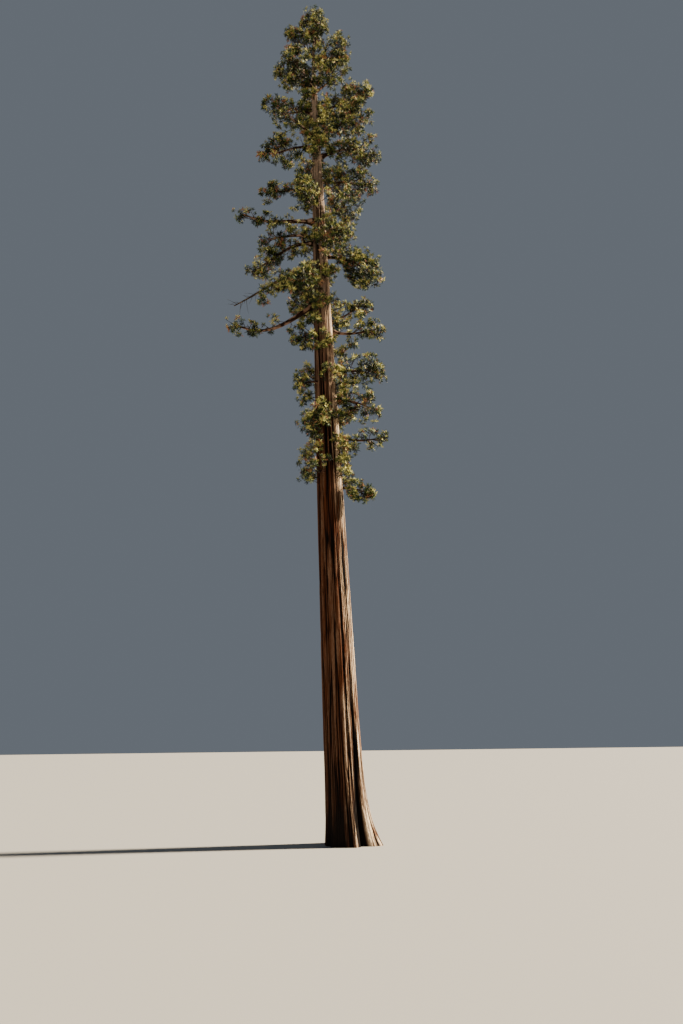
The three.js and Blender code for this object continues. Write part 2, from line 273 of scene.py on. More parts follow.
# %% [markdown]
# ## The bark's relief
# The bark is soft and fibrous and up to 40 cm thick. As the trunk grows, it splits into deep furrows that
# run up and down, part and join again, so the ridges between them look braided. A picture could fake it,
# but at a trunk's edge only real relief shows. The furrows lie where a noise that is stretched along the
# trunk passes through zero, because such lines never end and wind round long islands, as ridges do.


# %% Noise that closes round the trunk
def stretched_noise(turn, along, cells, seed):
    """Random heights on a lattice with that many cells round and one for each unit along, blended by
    3t2 - 2t3 both ways. It closes round the trunk, because the last cell is joined to the first."""
    heights = np.random.default_rng(seed).uniform(-1, 1, (int(np.ceil(along.max())) + 2, cells))
    column, row = np.floor(turn * cells).astype(int), np.floor(along).astype(int)
    s, t = turn * cells - column, along - row
    s, t = s * s * (3 - 2 * s), t * t * (3 - 2 * t)
    left, right = column % cells, (column + 1) % cells
    lower = heights[row, left] * (1 - s) + heights[row, right] * s
    upper = heights[row + 1, left] * (1 - s) + heights[row + 1, right] * s
    return lower * (1 - t) + upper * t


def two_noises(turn, along, broad, narrow, share, seed):
    """A broad noise plus a share of a narrower one. Each is a length in metres and its cells round."""
    noise = stretched_noise(turn, along / broad[0], broad[1], seed)
    return noise + share * stretched_noise(turn, along / narrow[0], narrow[1], seed + 1)


def ridged(noise, full):
    """0 where the noise is zero, rising as the square root of its distance from zero to 1 at full."""
    return np.sqrt(np.clip(np.abs(noise) / full, 0, 1))


# %% Furrows and ridges
# Each pair is a length along the trunk in metres, and how many cells the noise has round it. 40 cells
# put the ridges 10 to 14 cm apart above the flare, which is 15 to 20 cm on the real tree.
RIDGES, SMALL_RIDGES, SMALL_RIDGE_SHARE = (7.5, 40), (4.65, 70), 0.6
STRANDS, SMALL_STRANDS, SMALL_STRAND_SHARE = (1.8, 100), (0.9, 160), 0.5
WANDER, WANDER_REACH = (4.5, 9), 0.006  # in turns, so ridges lean to and fro a little
RIDGE_FULL, STRAND_FULL = 0.6, 0.5  # the noise at which a ridge and a strand reach their full height
RIDGE_PART, STRAND_PART = 0.62, 0.38  # of the relief
CREST_SHARE = 0.25  # of the depth that the crests stand above the plain outline
DEEPEST, SHALLOWEST, FADE_HEIGHT = 0.11, 0.022, 14.0
GROOVE_BEARING, GROOVE_WIDTH, GROOVE_DEPTH, GROOVE_HEIGHT = -46, 7.0, 0.24, 4.6


def bark_relief(height, bearing):
    """Height of the bark over the plain outline, and how deep in a furrow each point is, from 0 to 1.
    A ridge rises as a square root, so its furrow is a sharp V and its crest is round. A second, finer
    noise splits the ridges into strands."""
    wander = stretched_noise(bearing / 360 % 1, height / WANDER[0], WANDER[1], 11) * WANDER_REACH
    turn = (bearing / 360 + wander) % 1
    coarse = two_noises(turn, height, RIDGES, SMALL_RIDGES, SMALL_RIDGE_SHARE, 21)
    fine = two_noises(turn, height, STRANDS, SMALL_STRANDS, SMALL_STRAND_SHARE, 23)
    rise = RIDGE_PART * ridged(coarse, RIDGE_FULL) + STRAND_PART * ridged(fine, STRAND_FULL)
    depth = SHALLOWEST + (DEEPEST - SHALLOWEST) * np.exp(-height / FADE_HEIGHT)
    groove = np.exp(-((off_bearing(bearing, GROOVE_BEARING) / GROOVE_WIDTH) ** 2) - height / GROOVE_HEIGHT)
    return depth * (rise - 1 + CREST_SHARE) - GROOVE_DEPTH * groove, np.clip(1 - rise + groove, 0, 1)


# %% [markdown]
# ## The trunk in three lengths
# One grid over the whole trunk would be too dense for one piece, so it is made in three lengths that share
# their rings of points where they meet. The rings are closest at the foot, where the bark is boldest.
# Fire has blackened the foot here and there, and the crests on the side that faces the key light are
# painted lighter, as painted sunlight. Both are stored at each point with the furrows.

# %% Trunk meshes
COLUMNS = 480
# Painted sunlight: the crests on the side that faces the key light are painted lighter.
PAINTED_SUN_BEARING, LEAST_PAINTED_SUNLIGHT, SUN_GAIN = 2, 0.12, 1.4
SUN_PATCHES, SUN_PATCHINESS = (1.8, 40), 0.3
CREST_START, CREST_FALL = 1.3, 3.2  # a crest's share is the first less the second times the furrow
CHAR_BEARING, CHAR_WIDTH, CHAR_HEIGHT = 222, 42, 2.6
CHAR_PATCHES, SMALL_CHAR_PATCHES, SMALL_CHAR_SHARE = (1.3, 11), (0.5, 34), 0.5
CHAR_GAIN, CHAR_ALL_ROUND, CHAR_PATCHINESS, CHAR_IN_FURROWS, CHAR_LEAST = 1.7, 0.3, 0.6, 0.4, 0.5
LENGTHS = [
    # name, from, to, and the distance between rings
    ("trunk_foot", 0.0, 7.0, 0.036),
    ("trunk_middle", 7.0, 20.0, 0.067),
    ("trunk_top", 20.0, 37.6, 0.13),
]


def painted_sunlight_of(height, bearing, furrow):
    """How much painted sunlight the bark gets, from 0 to 1: the crests are painted lighter most on the side
    that faces the key light, and only where a ridge is near its full height."""
    facing = np.cos(np.radians(off_bearing(bearing, PAINTED_SUN_BEARING)))
    patch = stretched_noise(bearing / 360 % 1, height / SUN_PATCHES[0], SUN_PATCHES[1], 41)
    crest = np.clip(CREST_START - CREST_FALL * furrow, 0, 1)
    return crest * np.clip(SUN_GAIN * facing + SUN_PATCHINESS * patch, LEAST_PAINTED_SUNLIGHT, 1)


def char_of(height, bearing, furrow):
    """How black fire has left the bark, from 0 to 1: most low down on the left, and in the furrows."""
    left = np.exp(-((off_bearing(bearing, CHAR_BEARING) / CHAR_WIDTH) ** 2))
    patch = two_noises(bearing / 360 % 1, height, CHAR_PATCHES, SMALL_CHAR_PATCHES, SMALL_CHAR_SHARE, 31)
    low = np.exp(-height / CHAR_HEIGHT)
    burnt = CHAR_GAIN * low * (CHAR_ALL_ROUND + left) + CHAR_PATCHINESS * patch * low
    return np.clip(burnt + CHAR_IN_FURROWS * furrow * low - CHAR_LEAST, 0, 1)


def trunk_length(low, high, spacing):
    """A grid of rings and columns as rows of x, y, z, furrow, char and painted sunlight, and its triangles.
    The flat ends have rims of their own, so that the wall is shaded smooth right up to them."""
    rings = int(round((high - low) / spacing)) + 1
    all_round = np.linspace(0, 360, COLUMNS, endpoint=False)
    bearings, heights = np.meshgrid(all_round, np.linspace(low, high, rings))
    relief, furrow = bark_relief(heights, bearings)
    radius = trunk_radius(heights, bearings) + relief
    points = trunk_axis(heights) + radius[..., None] * outward(np.radians(bearings))
    values = [f(heights, bearings, furrow) for f in (char_of, painted_sunlight_of)]
    stored = np.concatenate([points, np.stack([furrow, *values], -1)], -1)
    rims = stored[[0, -1]]
    every = np.concatenate([stored.reshape(-1, 6), rims.reshape(-1, 6), rims.mean(1)])
    rim, centre = rings * COLUMNS, (rings + 2) * COLUMNS
    foot = fan(rim, COLUMNS, centre)[:, ::-1]
    top = fan(rim + COLUMNS, COLUMNS, centre + 1)
    return every, np.concatenate([wall_faces(rings, COLUMNS), foot, top])


# %% [markdown]
# ## Bark as a material
# The real thing is living bark, spongy and full of tannin, split by growth and worn by weather. It gives
# the eye a dry, matt, cinnamon red on the crests. On the side that faces the key light the crests are
# painted tan, as painted sunlight, and the furrows are painted near black, as painted shade. Higher up the
# bark is thinner, smoother and paler. Its fibres are 1 to 3 mm thick, too fine to show, so they are drawn
# about ten times as coarse.

# %% Bark material
FIBRE = 0.02  # metres across
FIBRE_STRETCH = 9
FIBRE_LOOK = {"Scale": 1 / FIBRE, "Detail": 5.0, "Roughness": 0.62}
BLOTCH_LOOK = {"Scale": 3.2, "Detail": 4.0, "Roughness": 0.6}
# Where each colour starts and where it has taken over. The height is in metres.
BLOTCH_RAMP, FIBRE_RAMP, HEIGHT_RAMP, FURROW_RAMP = (0.38, 0.6), (0.3, 0.62), (17.0, 33.0), (0.12, 0.44)
CHARCOAL = "#191310"


def bark_material(name, crest, body, depth, aloft):
    """Colour from the furrow's depth, a noise stretched along the trunk, the height, painted sunlight and
    the char. The hex colours are those of ridges painted sunlit, plain bark, furrows painted in shade, and
    bark high up. A piece that stores no char and no painted sunlight, as a limb doesn't, has none: what
    isn't stored reads 0."""
    matt = {"Roughness": 0.92, "IOR": 1.4, "Specular IOR Level": 0.15}  # fibres hide most of the shine
    material, graph, shader = new_material(name, matt)
    place = add_node(graph, "ShaderNodeTexCoord").outputs["Object"]
    furrow, char, bleached = (
        add_node(graph, "ShaderNodeAttribute", {"attribute_name": stored}).outputs["Fac"]
        for stored in ("furrow", "char", "bleached")
    )
    stretch = {"Vector": place, "Scale": (1, 1, 1 / FIBRE_STRETCH)}
    along = add_node(graph, "ShaderNodeMapping", None, stretch).outputs["Vector"]
    fibre, blotch = (
        add_node(graph, "ShaderNodeTexNoise", None, {"Vector": along, **look}).outputs["Fac"]
        for look in (FIBRE_LOOK, BLOTCH_LOOK)
    )

    def ramp(value, low, high):
        """From 0 where the value is low to 1 where it is high."""
        wide = {"Value": value, "From Min": low, "From Max": high}
        return add_node(graph, "ShaderNodeMapRange", {"clamp": True}, wide).outputs["Result"]

    def blend(share, first, second):
        """The first colour where the share is 0, the second where it is 1."""
        node = add_node(graph, "ShaderNodeMix", {"data_type": "RGBA"})
        for socket, value in ((0, share), (6, first), (7, second)):
            if isinstance(value, bpy.types.NodeSocket):
                graph.links.new(value, node.inputs[socket])
            else:
                node.inputs[socket].default_value = linear(value)
        return node.outputs[2]

    height = add_node(graph, "ShaderNodeSeparateXYZ", None, {"Vector": place}).outputs["Z"]
    # Painted sunlight: where the blotches allow, the crests that face the key light are painted tan.
    weathered = blend(ramp(blotch, *BLOTCH_RAMP), body, blend(bleached, body, crest))
    streaked = blend(ramp(fibre, *FIBRE_RAMP), body, weathered)
    paler = blend(ramp(height, *HEIGHT_RAMP), streaked, aloft)
    # Painted shade: the furrows are painted near black, as the shade in furrows deeper than the relief.
    split = blend(ramp(furrow, *FURROW_RAMP), paler, depth)
    burnt = blend(char, split, CHARCOAL)
    graph.links.new(burnt, shader.inputs["Base Color"])
    bump = {"Height": fibre, "Strength": 0.7, "Distance": 0.02}
    relief = add_node(graph, "ShaderNodeBump", None, bump).outputs["Normal"]
    graph.links.new(relief, shader.inputs["Normal"])
    return material


# The first colour is painted sunlight on the crests, and the third is painted shade in the furrows.
PAINTED_SUNLIT_CREST, BODY, PAINTED_FURROW_SHADE, ALOFT = "#f4dcbb", "#502a15", "#090402", "#9c8878"
trunk_bark = bark_material("Sequoia bark, furrowed, sun bleached", PAINTED_SUNLIT_CREST, BODY, PAINTED_FURROW_SHADE, ALOFT)
for name, low, high, spacing in LENGTHS:
    grid, triangles = trunk_length(low, high, spacing)
    # The third value is painted sunlight, which paints the crests that face the key light lighter.
    stored = {"furrow": grid[:, 3], "char": grid[:, 4], "bleached": grid[:, 5]}
    piece(name, grid[:, :3], triangles, [trunk_bark], "bark", ["trunk"], flat=2 * COLUMNS, **stored)

# %% [markdown]
# ## The limbs
# A bough leaves the trunk, rises or falls to its tip, arches or sags between, and sways a little to the
# side. Its outer part carries the foliage. Each row is one bough, in metres and degrees: the height of its
# foot, its bearing, its reach, the rise from foot to tip, the rise of its middle, the half width of its
# foliage, and the share of it that is bare. They are the CAD source's rows, so each bough grows where its
# solid is.

# %% The table of limbs
Limb = namedtuple("Limb", "name foot bearing reach lift arch width bare")
ROWS = [
    ("leader", 37.5, 0, 0.12, 2.48, 0, 0.9, 0),
    ("left_01", 37.15, 190, 1.2, 1.5, 0.06, 0.85, 0),
    ("left_02", 35.5, 160, 2.0, 1.55, 0.09, 0.9, 0),
    ("left_03", 32.1, 205, 2.8, 1.8, -0.12, 0.85, 0.36),
    ("left_04", 33.6, 160, 2.3, 0.8, 0.1, 0.85, 0.3),
    ("left_05", 31.6, 180, 2.75, -0.4, 0.12, 0.95, 0.32),
    ("left_06", 28.9, 195, 2.85, -0.45, 0.2, 0.6, 0.3),
    ("left_07", 27.35, 183, 4.0, 0.6, -0.3, 0.55, 0.38),
    ("left_08", 26.35, 200, 3.05, -0.7, 0.25, 0.75, 0.34),
    ("left_09", 26.2, 160, 3.75, -0.75, 0.42, 0.75, 0.38),
    ("left_10", 23.25, 184, 4.4, -1.15, -0.98, 0.5, 0.5),
    ("left_11", 21.7, 196, 1.4, -0.8, 0.1, 0.7, 0),
    ("left_12", 19.0, 214, 1.5, -0.3, 0.06, 0.95, 0),
    ("right_01", 36.4, 8, 1.7, 2.0, -0.12, 0.8, 0.3),
    ("right_02", 34.95, -26, 1.85, 0.7, 0.06, 0.95, 0),
    ("right_03", 33.9, 20, 2.8, 1.9, -0.15, 0.95, 0.3),
    ("right_04", 32.3, -28, 3.0, -0.15, 0.15, 0.95, 0),
    ("right_05", 31.0, 2, 3.05, -0.1, 0.65, 0.95, 0.3),
    ("right_06", 29.7, 28, 3.1, 0.55, 0.2, 1.1, 0),
    ("right_07", 27.6, -30, 2.35, -0.25, 0.14, 1.05, 0),
    ("right_08", 25.55, -4, 2.75, -1.6, 0.42, 0.95, 0.36),
    ("right_09", 22.05, 30, 2.4, 1.85, -0.22, 0.65, 0.6),
    ("right_10", 21.75, -3, 2.75, -0.15, -0.24, 0.65, 0.44),
    ("right_11", 19.75, 16, 2.75, -0.2, 0.15, 1.0, 0.28),
    ("right_12", 18.3, -14, 2.4, -1.0, 0.18, 0.85, 0.3),
    ("right_13", 16.85, 3, 2.6, -0.35, -0.36, 0.65, 0.5),
    ("right_14", 14.15, -8, 1.9, -0.5, 0.15, 0.6, 0.36),
    ("front_01", 35.05, 225, 1.9, 1.1, 0.08, 0.95, 0),
    ("front_02", 27.9, 245, 2.0, 0, 0.16, 0.95, 0),
    ("front_03", 25.9, 300, 2.2, -0.3, 0.2, 1.05, 0),
    ("front_04", 22.95, 240, 2.6, 0.2, 0.12, 1.05, 0.26),
    ("front_05", 17.0, 246, 1.75, -0.4, 0.04, 1.0, 0),
    ("front_06", 14.75, 240, 1.7, -0.3, 0.06, 1.0, 0),
    ("back_01", 34.55, 96, 2.2, 1.25, 0.06, 1.0, 0),
    ("back_02", 30.6, 105, 2.5, 0.45, 0.16, 1.0, 0),
    ("back_03", 27.35, 60, 2.8, -0.15, 0.2, 1.05, 0.3),
    ("back_04", 24.2, 112, 2.8, -0.3, 0.2, 1.05, 0.34),
]
LIMBS = [Limb(*row) for row in ROWS]
DEAD_LIMB = Limb("dead_limb", 25.0, 193, 3.95, -2.6, 0.25, 0, 1)
print(len(LIMBS), "limbs with foliage")

# %% A limb's centre line
UP = np.array([0.0, 0.0, 1.0])
SWAY = 0.035
GIRTH, LEAST_FOOT_RADIUS, LIMB_TAPER = 0.028, 0.042, 0.78
NEARLY_UPRIGHT = 0.9


def limb_point(limb, u):
    """Out from the trunk's axis by reach u, up by lift u + arch sin(pi u), aside by a sine of u."""
    u = np.asarray(u, float)[..., None]
    out = outward(np.radians(limb.bearing))
    side = np.array([-out[1], out[0], 0])
    aside = side * limb.reach * SWAY * np.sin(2 * np.pi * u)
    rise = UP * (limb.lift * u + limb.arch * np.sin(np.pi * u))
    return trunk_axis(limb.foot) + out * limb.reach * u + aside + rise


def slope(limb, u):
    """How fast and which way the centre line runs on as u grows, from two points close together."""
    step = 1e-3
    return (limb_point(limb, u + step) - limb_point(limb, u - step)) / (2 * step)


def limb_radius(limb, u):
    """The radius at the foot grows with the reach, and an even taper along u takes its share of it."""
    return max(LEAST_FOOT_RADIUS, limb.reach * GIRTH) * (1 - LIMB_TAPER * u)


def unit(vectors):
    """Each vector divided by its length."""
    return vectors / np.linalg.norm(vectors, axis=-1, keepdims=True)


def turned(ahead, side, angle):
    """ahead turned towards side, which is square to it: ahead cos(angle) + side sin(angle)."""
    return ahead * np.cos(angle) + side * np.sin(angle)


def frames(ahead, upright=None):
    """Two directions square to each of ahead. The first lies level, unless the way is nearly upright."""
    if upright is None:
        upright = np.abs(ahead[..., 2:]) > NEARLY_UPRIGHT
    side = unit(np.cross(ahead, np.where(upright, [1.0, 0, 0], UP)))
    return side, np.cross(side, ahead)


# %% [markdown]
# ## Limbs as tubes
# A limb is a circle carried along its centre line, with a collar where it leaves the trunk and scaly
# ridges that run along it. A curve with a bevel would do for a smooth twig, but not for ridges.

# %% Tubes with ridges
TUBE_SIDES = 18
TUBE_SPACING = 0.05
LEAST_RINGS = 6
COLLAR, COLLAR_LENGTH = 0.75, 0.22
LIMB_RIDGE, LIMB_CREST = 0.17, 1.4  # share of the radius that is ridged, and a crest's height in it
LIMB_GRAIN, SMALL_LIMB_GRAIN, SMALL_GRAIN_SHARE = (0.3, 7), (0.12, 11), 0.5
GRAIN_FULL = 0.9  # the noise at which a ridge reaches its full height
END_FURROW = 0.3  # stored at the points that close the two ends
SUNK = 0.55  # the limb's foot is this share of the trunk's radius from the axis


def limb_tube(limb, last, seed):
    """Points, triangles and furrow of a limb, from inside the trunk to u = last."""
    trunk = float(shaft_radius(limb.foot))
    first = SUNK * trunk / max(limb.reach, abs(limb.lift))
    whole = limb_point(limb, last) - limb_point(limb, first)
    length = float(np.linalg.norm(whole))
    rings = max(LEAST_RINGS, int(round(length / TUBE_SPACING)))
    u = np.linspace(first, last, rings)
    side, over = frames(unit(slope(limb, u)), abs(whole[2]) > NEARLY_UPRIGHT * length)
    along = np.linspace(0, length, rings)
    clear = np.maximum(along - (1 - SUNK) * trunk, 0)
    radius = limb_radius(limb, u) * (1 + COLLAR * np.exp(-((clear / COLLAR_LENGTH) ** 2)))
    turn, far = np.meshgrid(np.linspace(0, 1, TUBE_SIDES, endpoint=False), along)
    noise = two_noises(turn, far, LIMB_GRAIN, SMALL_LIMB_GRAIN, SMALL_GRAIN_SHARE, seed)
    rise = ridged(noise, GRAIN_FULL)
    radii = radius[:, None] * (1 - LIMB_RIDGE + LIMB_RIDGE * LIMB_CREST * rise)
    around = turned(side[:, None], over[:, None], 2 * np.pi * turn[..., None])
    points = limb_point(limb, u)[:, None] + radii[..., None] * around
    ends = limb_point(limb, np.array([first, last]))
    furrow = np.append((1 - rise).ravel(), [END_FURROW, END_FURROW])
    return np.concatenate([points.reshape(-1, 3), ends]), tube_faces(rings, TUBE_SIDES)[:, ::-1], furrow


def joined(parts):
    """Several (points, triangles, number at each point) as one, with the triangles renumbered."""
    starts = np.cumsum([0] + [len(points) for points, *_ in parts])
    points = np.concatenate([part[0] for part in parts])
    triangles = np.concatenate([part[1] + start for part, start in zip(parts, starts)])
    return points, triangles, np.concatenate([part[2] for part in parts])


# %% [markdown]
# ## Growth: the same rule, the same chances
# Foliage can be scattered over a limb by Blender's particles, but the solids and the leaves would not
# agree. Here the CAD source's rule is written again with its own stream of chances, so every twig and
# spray falls where its solid has it. Twigs wind round the stem by the golden angle, as shoots do, and one
# that would leave its mass's space or touch a limb is tried again and then left out.

# %% A stream of chances
WORD = 0xFFFFFFFF


def stream(seed):
    """Mulberry32: the same numbers from 0 to 1 for the same seed as in the CAD source."""
    state = seed

    def chance():
        nonlocal state
        state = (state + 0x6D2B79F5) & WORD
        t = ((state ^ (state >> 15)) * (1 | state)) & WORD
        t = ((t + (((t ^ (t >> 7)) * (61 | t)) & WORD)) & WORD) ^ t
        return (t ^ (t >> 14)) / 4294967296

    return chance


def vary(chance, share):
    """A factor up to a share above or below 1."""
    return 1 + share * (2 * chance() - 1)


# %% The space that each mass keeps to
LAST_SPRAY, NARROWEST, SPINE_STEPS = 0.8, 0.6, 24
SPACE_MARGIN, LIMB_CLEARANCE = 0.03, 0.025
Mass = namedtuple("Mass", "limb seed length end")


def mass_on(limb, seed):
    """A mass's stem stops short of the furthest tip by a share of its width, which its last spray fills."""
    span = np.linalg.norm(limb_point(limb, 1) - limb_point(limb, limb.bare))
    length = float(span) / (1 - limb.bare)
    return Mass(limb, seed, length, 1 - LAST_SPRAY * limb.width / length)


def widening(along):
    """The share of its width that a mass has so far along its stem: it grows as a square root."""
    return NARROWEST + (1 - NARROWEST) * np.sqrt(along)


masses = [mass_on(limb, seed) for seed, limb in enumerate(LIMBS)]
steps = np.linspace(0, 1, SPINE_STEPS + 1)
spines = np.array([limb_point(m.limb, m.limb.bare + (m.end - m.limb.bare) * steps) for m in masses])
reaches = np.array([m.limb.width * widening(steps) for m in masses])
boughs = [limb for limb in LIMBS if limb.bare > 0] + [DEAD_LIMB]
bough_points = np.concatenate([limb_point(limb, limb.bare * steps) for limb in boughs])
bough_radii = np.concatenate([limb_radius(limb, limb.bare * steps) for limb in boughs])


def shares(points):
    """Distance of each point from each mass's stem as a share of its width there: its space ends at 1."""
    apart = np.linalg.norm(points[:, None, None] - spines, axis=-1)
    return (apart / reaches).min(-1)


def clear_of_limbs(points):
    """True for each point that keeps its clearance from the trunk and from every bough."""
    axis = trunk_axis(np.minimum(points[:, 2], TIP_HEIGHT))
    trunk = np.linalg.norm(points - axis, axis=-1) >= shaft_radius(axis[:, 2]) + LIMB_CLEARANCE
    apart = np.linalg.norm(points[:, None] - bough_points, axis=-1)
    return trunk & (apart > bough_radii + LIMB_CLEARANCE).all(-1)


def room(mass, points):
    """True for each point that lies in the mass's own space and clear of every limb."""
    share = shares(points)
    own = share[:, mass.seed].copy()
    share[:, mass.seed] = np.inf
    free = (own < 1) & (share.min(-1) > own + SPACE_MARGIN) & (points[:, 2] <= TREE_HEIGHT)
    return free & clear_of_limbs(points)


# %% Twigs and sprays
TWIG_SPACING, TWIG_LENGTH, TWIG_VARIETY, TWIG_LEAN = 0.29, 0.5, 0.2, 52
FIRST_TWIG, GOLDEN_ANGLE, ROLL_VARIETY, TRIES = 0.16, 137.5, 90, 5
SPRAY_LENGTH, SPRAY_VARIETY, SPRAY_WIDTH, SPRAY_MIDDLE = 1.14, 0.15, 0.58, 0.42
SHORTENING, STEM_SINK = 0.92, 0.02
TWIG_TESTS = np.array([0.6, 1.0])
TWIG_SPRAYS = [(0.75, 0), (0.5, 58), (0.3, -64)]  # where each leaves its twig, and the degrees it turns
TEETH = np.array([(0, 0), (0.74, 1), (0.6, 0.4), (1, 0), (0.6, -0.4), (0.74, -1)])
BETWEEN = (TEETH + np.roll(TEETH, -1, 0)) / 2
SPRAY_TESTS = np.concatenate([TEETH, BETWEEN, [(SPRAY_MIDDLE, 0)]])


def leaned(ahead, lean, roll):
    """Directions turned from ahead by lean, towards the side that roll points to."""
    return turned(ahead, turned(*frames(ahead), roll), lean)


def spray_at(mass, root, ahead, length, chance):
    """A spray rooted in a twig: it is turned and shortened until it has room. None if it never has."""
    for attempt in range(TRIES):
        face = unit(leaned(ahead, np.pi / 2, 2 * np.pi * chance()))
        size = length * SHORTENING**attempt
        side = np.cross(face, ahead) * SPRAY_WIDTH
        points = root + size * (SPRAY_TESTS[:, :1] * ahead + SPRAY_TESTS[:, 1:] * side)
        if room(mass, points).all():
            return root, ahead, face, size
    return None


def twig_at(mass, u, roll, chance):
    """A twig as (foot, tip), and its sprays. None, and no sprays, where it has no room."""
    foot = limb_point(mass.limb, u)
    direction = unit(leaned(unit(slope(mass.limb, u)), np.radians(TWIG_LEAN), roll))
    length = mass.limb.width * TWIG_LENGTH * vary(chance, TWIG_VARIETY)
    if not room(mass, foot + TWIG_TESTS[:, None] * direction * length).all():
        return None, []
    across = unit(leaned(direction, np.pi / 2, 2 * np.pi * chance()))
    sprays = []
    for start, turn in TWIG_SPRAYS:
        ahead = turned(direction, np.cross(across, direction), np.radians(turn))
        size = mass.limb.width * SPRAY_LENGTH * vary(chance, SPRAY_VARIETY)
        spray = spray_at(mass, foot + direction * length * start, ahead, size, chance)
        sprays += [spray] if spray else []
    return (foot, foot + direction * length), sprays


def grown(mass):
    """The mass's twigs and sprays, in the order in which the CAD source grows them."""
    chance = stream(mass.seed + 1)
    first = max(mass.limb.bare, FIRST_TWIG)
    count = max(2, int(np.floor((mass.end - first) * mass.length / TWIG_SPACING + 0.5)))
    twigs, sprays = [], []
    for k in range(count):
        u = first + (mass.end - first) * (k + 0.5) / count
        for turn in range(TRIES):
            roll = np.radians((k + turn) * GOLDEN_ANGLE + ROLL_VARIETY * chance())
            twig, borne = twig_at(mass, u, roll, chance)
            if borne:
                break
        twigs += [twig] if twig else []
        sprays += borne
    root = limb_point(mass.limb, mass.end - STEM_SINK)
    last = limb_point(mass.limb, 1) - root
    spray = spray_at(mass, root, unit(last), float(np.linalg.norm(last)), chance)
    return twigs, sprays + ([spray] if spray else [])


growth = [grown(mass) for mass in masses]
counts = [sum(len(made[i]) for made in growth) for i in (0, 1)]
print(counts[0], "twigs and", counts[1], "sprays, as in the source")

# %% [markdown]
# ## Finer twigs
# In the source each spray is one toothed blade that stands for a branchlet. Here the branchlet is grown:
# it runs along the blade, shoots wind round it by the same golden angle and reach as far as the blade
# does, and every shoot ends in a tuft. Between them finer branchlets leave the limb by the same rule, and
# a few short ones sprout from its bare stretch and from the trunk, as they do on an old sequoia. Whole
# arrays are used, one row for each branchlet.

# %% Where branchlets start
Buds = namedtuple("Buds", "root ahead face size flatness bound")
BRANCHLET_REACH = 0.84
BLADE_FLATNESS = 0.5  # shoots out of a blade's plane are this share as long
FINE_SPACING = 0.15  # between branchlets, where the foliage is 1 m wide on each side; more where it is less
FINE_LEAN, FINE_ROLL = (42, 72), 30  # degrees, and how far each strays from the golden angle
FINE_REACH = (0.65, 1)  # shares of the width of the mass
FINE_START = (0.2, 0.8)  # where in its own stretch of the limb each may start
ROOTED = 0.9  # share of the trunk's radius at which a sprout or a fine branchlet starts
BARE_FOOT, MOST_BARE = 0.05, 0.3  # that share past the bark has no fine branchlet, and at most this one
SPROUT_SIZE = (0.35, 0.65)
SPROUT_RISE = (-0.1, 1.1)
SPROUT_AHEAD, SPROUT_SAG = 0.4, 0.3  # on a bare limb
random = np.random.default_rng(5)


def square_to(ways):
    """A direction square to each of those, at a chance turn."""
    return unit(np.cross(ways, random.normal(0, 1, ways.shape)))


def buds_on_blades(sprays):
    """The branchlets that the source's sprays stand for."""
    root, ahead, face, size = [np.array([spray[i] for spray in sprays]) for i in range(4)]
    count = len(size)
    return Buds(root, ahead, face, size, np.full(count, BLADE_FLATNESS), np.full(count, True))


def buds_towards(root, ahead, size, bound):
    """Branchlets that fill the round, each with a face at a chance turn."""
    count = len(size)
    return Buds(root, ahead, square_to(ahead), size, np.ones(count), np.broadcast_to(bound, count))


def buds_on_limb(mass):
    """Finer branchlets wound round the whole limb by the golden angle, short where the limb is bare."""
    limb = mass.limb
    low = min(ROOTED * float(shaft_radius(limb.foot)) / mass.length + BARE_FOOT, MOST_BARE)
    count = int((mass.end - low) * mass.length * limb.width / FINE_SPACING)
    u = low + (mass.end - low) * (np.arange(count) + random.uniform(*FINE_START, count)) / count
    stray = random.uniform(-FINE_ROLL, FINE_ROLL, count)
    roll = np.radians(np.arange(count) * GOLDEN_ANGLE + stray)[:, None]
    lean = np.radians(random.uniform(*FINE_LEAN, count))[:, None]
    ahead = leaned(unit(slope(limb, u)), lean, roll)
    leafy = np.clip((u - limb.bare) / (mass.end - limb.bare), 0, 1)
    reach = limb.width * widening(leafy) * random.uniform(*FINE_REACH, count)
    bound = u > limb.bare
    size = np.where(bound, reach, random.uniform(*SPROUT_SIZE, count))
    return buds_towards(limb_point(limb, u), ahead, size, bound)


def buds_on_trunk(count, low, high):
    """Short sprouts from the trunk, at chance heights and bearings, rising at chance angles."""
    height = random.uniform(low, high, count)
    bearing = random.uniform(0, 2 * np.pi, count)
    rise = random.uniform(*SPROUT_RISE, count)[:, None]
    out = outward(bearing)
    root = trunk_axis(height) + ROOTED * shaft_radius(height)[:, None] * out
    return buds_towards(root, unit(out + rise * UP), random.uniform(*SPROUT_SIZE, count), False)


def buds_on_bare_limb(limb, count, first, last):
    """Short sprouts between two shares of a bare limb's length, at chance turns, that hang a little."""
    u = random.uniform(first, last, count)
    along = unit(slope(limb, u))
    ahead = unit(square_to(along) + SPROUT_AHEAD * along - SPROUT_SAG * UP)
    return buds_towards(limb_point(limb, u), ahead, random.uniform(*SPROUT_SIZE, count), False)


def together(*groups):
    """Several groups of branchlets as one."""
    return Buds(*(np.concatenate(columns) for columns in zip(*groups)))


# %% Branchlets and shoots
SHOOTS = 10
FIRST_SHOOT, SHOOT_STRETCH = 0.2, 0.68  # where the first leaves its branchlet, and the stretch they share
SHOOT_LEAN, LEAN_VARIETY = 50, (0.8, 1.2)
SHOOT_LENGTH, LENGTH_VARIETY = 0.52, (0.8, 1.1)
SHOOT_BASE, SHOOT_GAIN = 0.55, 0.6  # a shoot is longer the further out it starts
SHOOT_BEND, SHOOT_LIFT = 0.55, 0.1
FULL_SIZE = 0.9  # a shorter branchlet has fewer shoots
BRANCHLET_ARCH = 0.06


